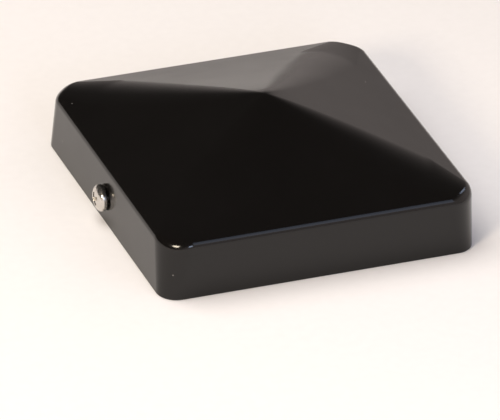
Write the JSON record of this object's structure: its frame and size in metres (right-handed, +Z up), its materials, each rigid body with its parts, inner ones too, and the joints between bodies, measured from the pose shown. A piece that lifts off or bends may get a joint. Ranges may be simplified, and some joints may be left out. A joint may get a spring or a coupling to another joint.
{
  "type": "fence post cap",
  "caption": "Low pyramid cap that sheds rain from a square timber fence post, pressed from sheet metal, powder-coated black and held by a pan-head screw in each of two sides.",
  "frame": {"origin": "centre of the square lower rim, in the rim's plane", "axes": "+Z up through the peak, X through the two screws, Y along the plain sides"},
  "size_m": [0.101, 0.095, 0.033],
  "materials": {
    "black_powder_coat": "gloss black powder coat",
    "stainless_left": "bright stainless steel",
    "stainless_right": "bright stainless steel"
  },
  "bodies": {
    "cap": {"cap_shell": "black_powder_coat"},
    "left_screw": {"screw_left": "stainless_left"},
    "right_screw": {"screw_right": "stainless_right"}
  },
  "joints": [
    {"name": "left_screw_travel", "type": "slide", "parent": "cap", "child": "left_screw", "axis": [-1, 0, 0], "range_m": [0, 0.032]},
    {"name": "right_screw_travel", "type": "slide", "parent": "cap", "child": "right_screw", "axis": [1, 0, 0], "range_m": [0, 0.032]}
  ]
}
